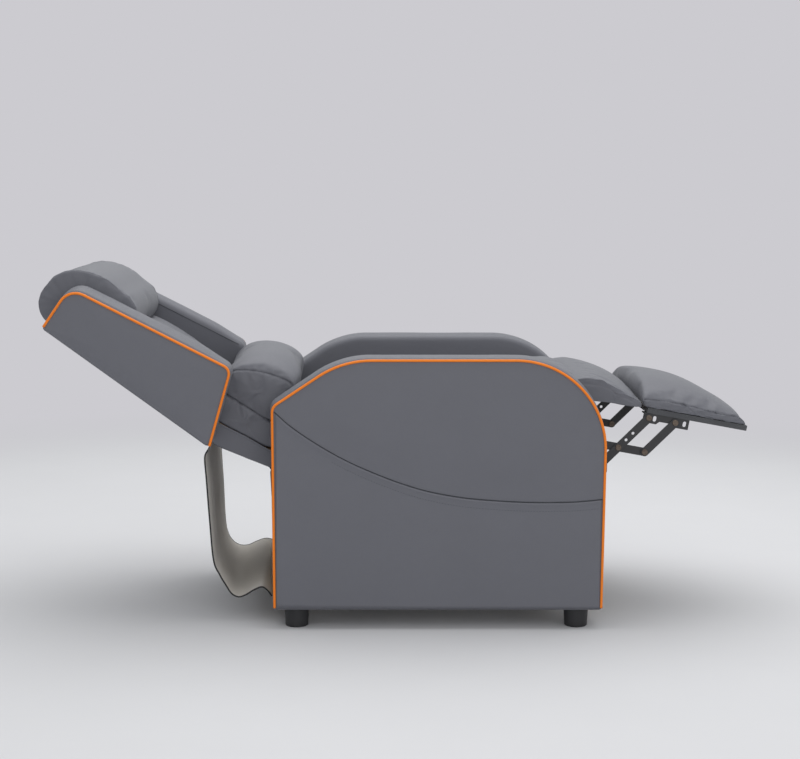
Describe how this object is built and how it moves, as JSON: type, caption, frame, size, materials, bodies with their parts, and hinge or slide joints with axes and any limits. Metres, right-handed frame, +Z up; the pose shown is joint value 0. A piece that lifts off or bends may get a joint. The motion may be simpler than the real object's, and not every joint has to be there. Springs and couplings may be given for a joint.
{
  "type": "recliner chair",
  "caption": "Push-back recliner armchair in grey leather with contrast piping, shown reclined; the back, seat and linkage-driven footrest move together.",
  "frame": {"origin": "on the floor plane, centre of the bounding box in X and Y", "axes": "+X is the way the sitter faces, +Z is up, -Y is the near side of the picture"},
  "size_m": [1.6223, 0.68, 0.8206],
  "materials": {
    "grey_leather": "soft satin",
    "orange_piping": "satin",
    "black_steel": "satin powder coat",
    "rivet_steel": "blackened",
    "tube_steel": "satin powder coat",
    "plywood": "raw",
    "black_board": "cloth covered",
    "webbing": "woven",
    "spring_steel": "oiled",
    "foot_plastic": "matte",
    "flap_cloth": "coated cloth",
    "apron_cloth": "nonwoven",
    "roller_plastic": "matte"
  },
  "bodies": {
    "base": {"feet": "foot_plastic", "foot_studs": "rivet_steel", "arm_core_near": "plywood", "arm_core_far": "plywood", "arm_near": "grey_leather", "arm_far": "grey_leather", "arm_piping_near": "orange_piping", "arm_piping_far": "orange_piping", "side_panel_near": "grey_leather", "side_panel_far": "grey_leather", "front_rail": "plywood", "rear_rail": "plywood", "base_plates": "black_steel", "base_bolts": "rivet_steel", "front_cross_tube": "tube_steel", "rear_cross_tube": "tube_steel", "base_pivot_pins": "rivet_steel", "rear_flap": "flap_cloth"},
    "backrest": {"back_frame": "plywood", "back_webbing": "webbing", "back_panel": "grey_leather", "wing_boards": "plywood", "back_brackets": "black_steel", "back_bolts": "rivet_steel", "seat_rear_pins": "rivet_steel", "wing_near": "grey_leather", "wing_far": "grey_leather", "wing_piping_near": "orange_piping", "wing_piping_far": "orange_piping", "lumbar_cushion": "grey_leather", "head_pillow": "grey_leather", "back_pad": "grey_leather", "lower_back_pad": "grey_leather"},
    "swing_link": {"swing_links": "black_steel", "swing_pins": "rivet_steel"},
    "seat": {"seat_frame": "plywood", "seat_springs": "spring_steel", "seat_cushion": "grey_leather", "seat_plates": "black_steel", "seat_bolts": "rivet_steel", "cam_plates": "black_steel", "cam_studs": "rivet_steel", "seat_apron": "apron_cloth"},
    "bridge": {"bridge_pad": "grey_leather"},
    "footrest_drive": {"drive_tube": "tube_steel", "drive_pivots": "rivet_steel", "drive_links": "black_steel"},
    "footrest_cross": {"cross_links": "black_steel", "crossing_rivets": "rivet_steel", "cam_pins": "rivet_steel", "cam_rollers": "roller_plastic"},
    "footrest_lower": {"lower_links": "black_steel", "elbow_rivets": "rivet_steel"},
    "footrest": {"footrest_brackets": "black_steel", "bracket_rivets": "rivet_steel", "footrest_board": "black_board", "bracket_screws": "rivet_steel", "footrest_pad": "grey_leather"}
  },
  "joints": [
    {"name": "back_recline", "type": "hinge", "parent": "base", "child": "backrest", "pos_m": [-0.228, 0, 0.291], "axis": [0, 1, 0], "range_deg": [0, 38], "deforming": ["rear_flap"]},
    {"name": "seat_level", "type": "hinge", "parent": "backrest", "child": "seat", "pos_m": [-0.1393, 0, 0.2508], "axis": [0, 1, 0], "range_deg": [-38, 0], "deforming": ["seat_apron"]},
    {"name": "seat_swing", "type": "hinge", "parent": "base", "child": "swing_link", "pos_m": [0.2113, 0, 0.3402], "axis": [0, 1, 0], "range_deg": [0, 38]},
    {"name": "footrest_fold", "type": "hinge", "parent": "seat", "child": "footrest_drive", "pos_m": [0.40402, 0, 0.4246], "axis": [0, 1, 0], "range_deg": [0, 79.6]},
    {"name": "cross_turn", "type": "hinge", "parent": "footrest_drive", "child": "footrest_cross", "pos_m": [0.513, 0, 0.4046], "axis": [0, 1, 0], "range_deg": [-104.2, 0]},
    {"name": "lower_turn", "type": "hinge", "parent": "footrest_drive", "child": "footrest_lower", "pos_m": [0.57398, 0, 0.39341], "axis": [0, 1, 0], "range_deg": [-104.2, 0]},
    {"name": "footrest_turn", "type": "hinge", "parent": "footrest_cross", "child": "footrest", "pos_m": [0.58249, 0, 0.47313], "axis": [0, 1, 0], "range_deg": [0, 104.2]},
    {"name": "bridge_fold", "type": "hinge", "parent": "seat", "child": "bridge", "pos_m": [0.465, 0, 0.535], "axis": [0, 1, 0], "range_deg": [0, 72.7]}
  ],
  "couplings": [
    {"joint": "seat_level", "follows": "back_recline", "ratio": -1},
    {"joint": "seat_swing", "follows": "back_recline", "ratio": 1},
    {"joint": "cross_turn", "follows": "footrest_fold", "ratio": -1.309},
    {"joint": "lower_turn", "follows": "footrest_fold", "ratio": -1.309},
    {"joint": "footrest_turn", "follows": "footrest_fold", "ratio": 1.309},
    {"joint": "bridge_fold", "follows": "footrest_fold", "ratio": 0.9133}
  ]
}
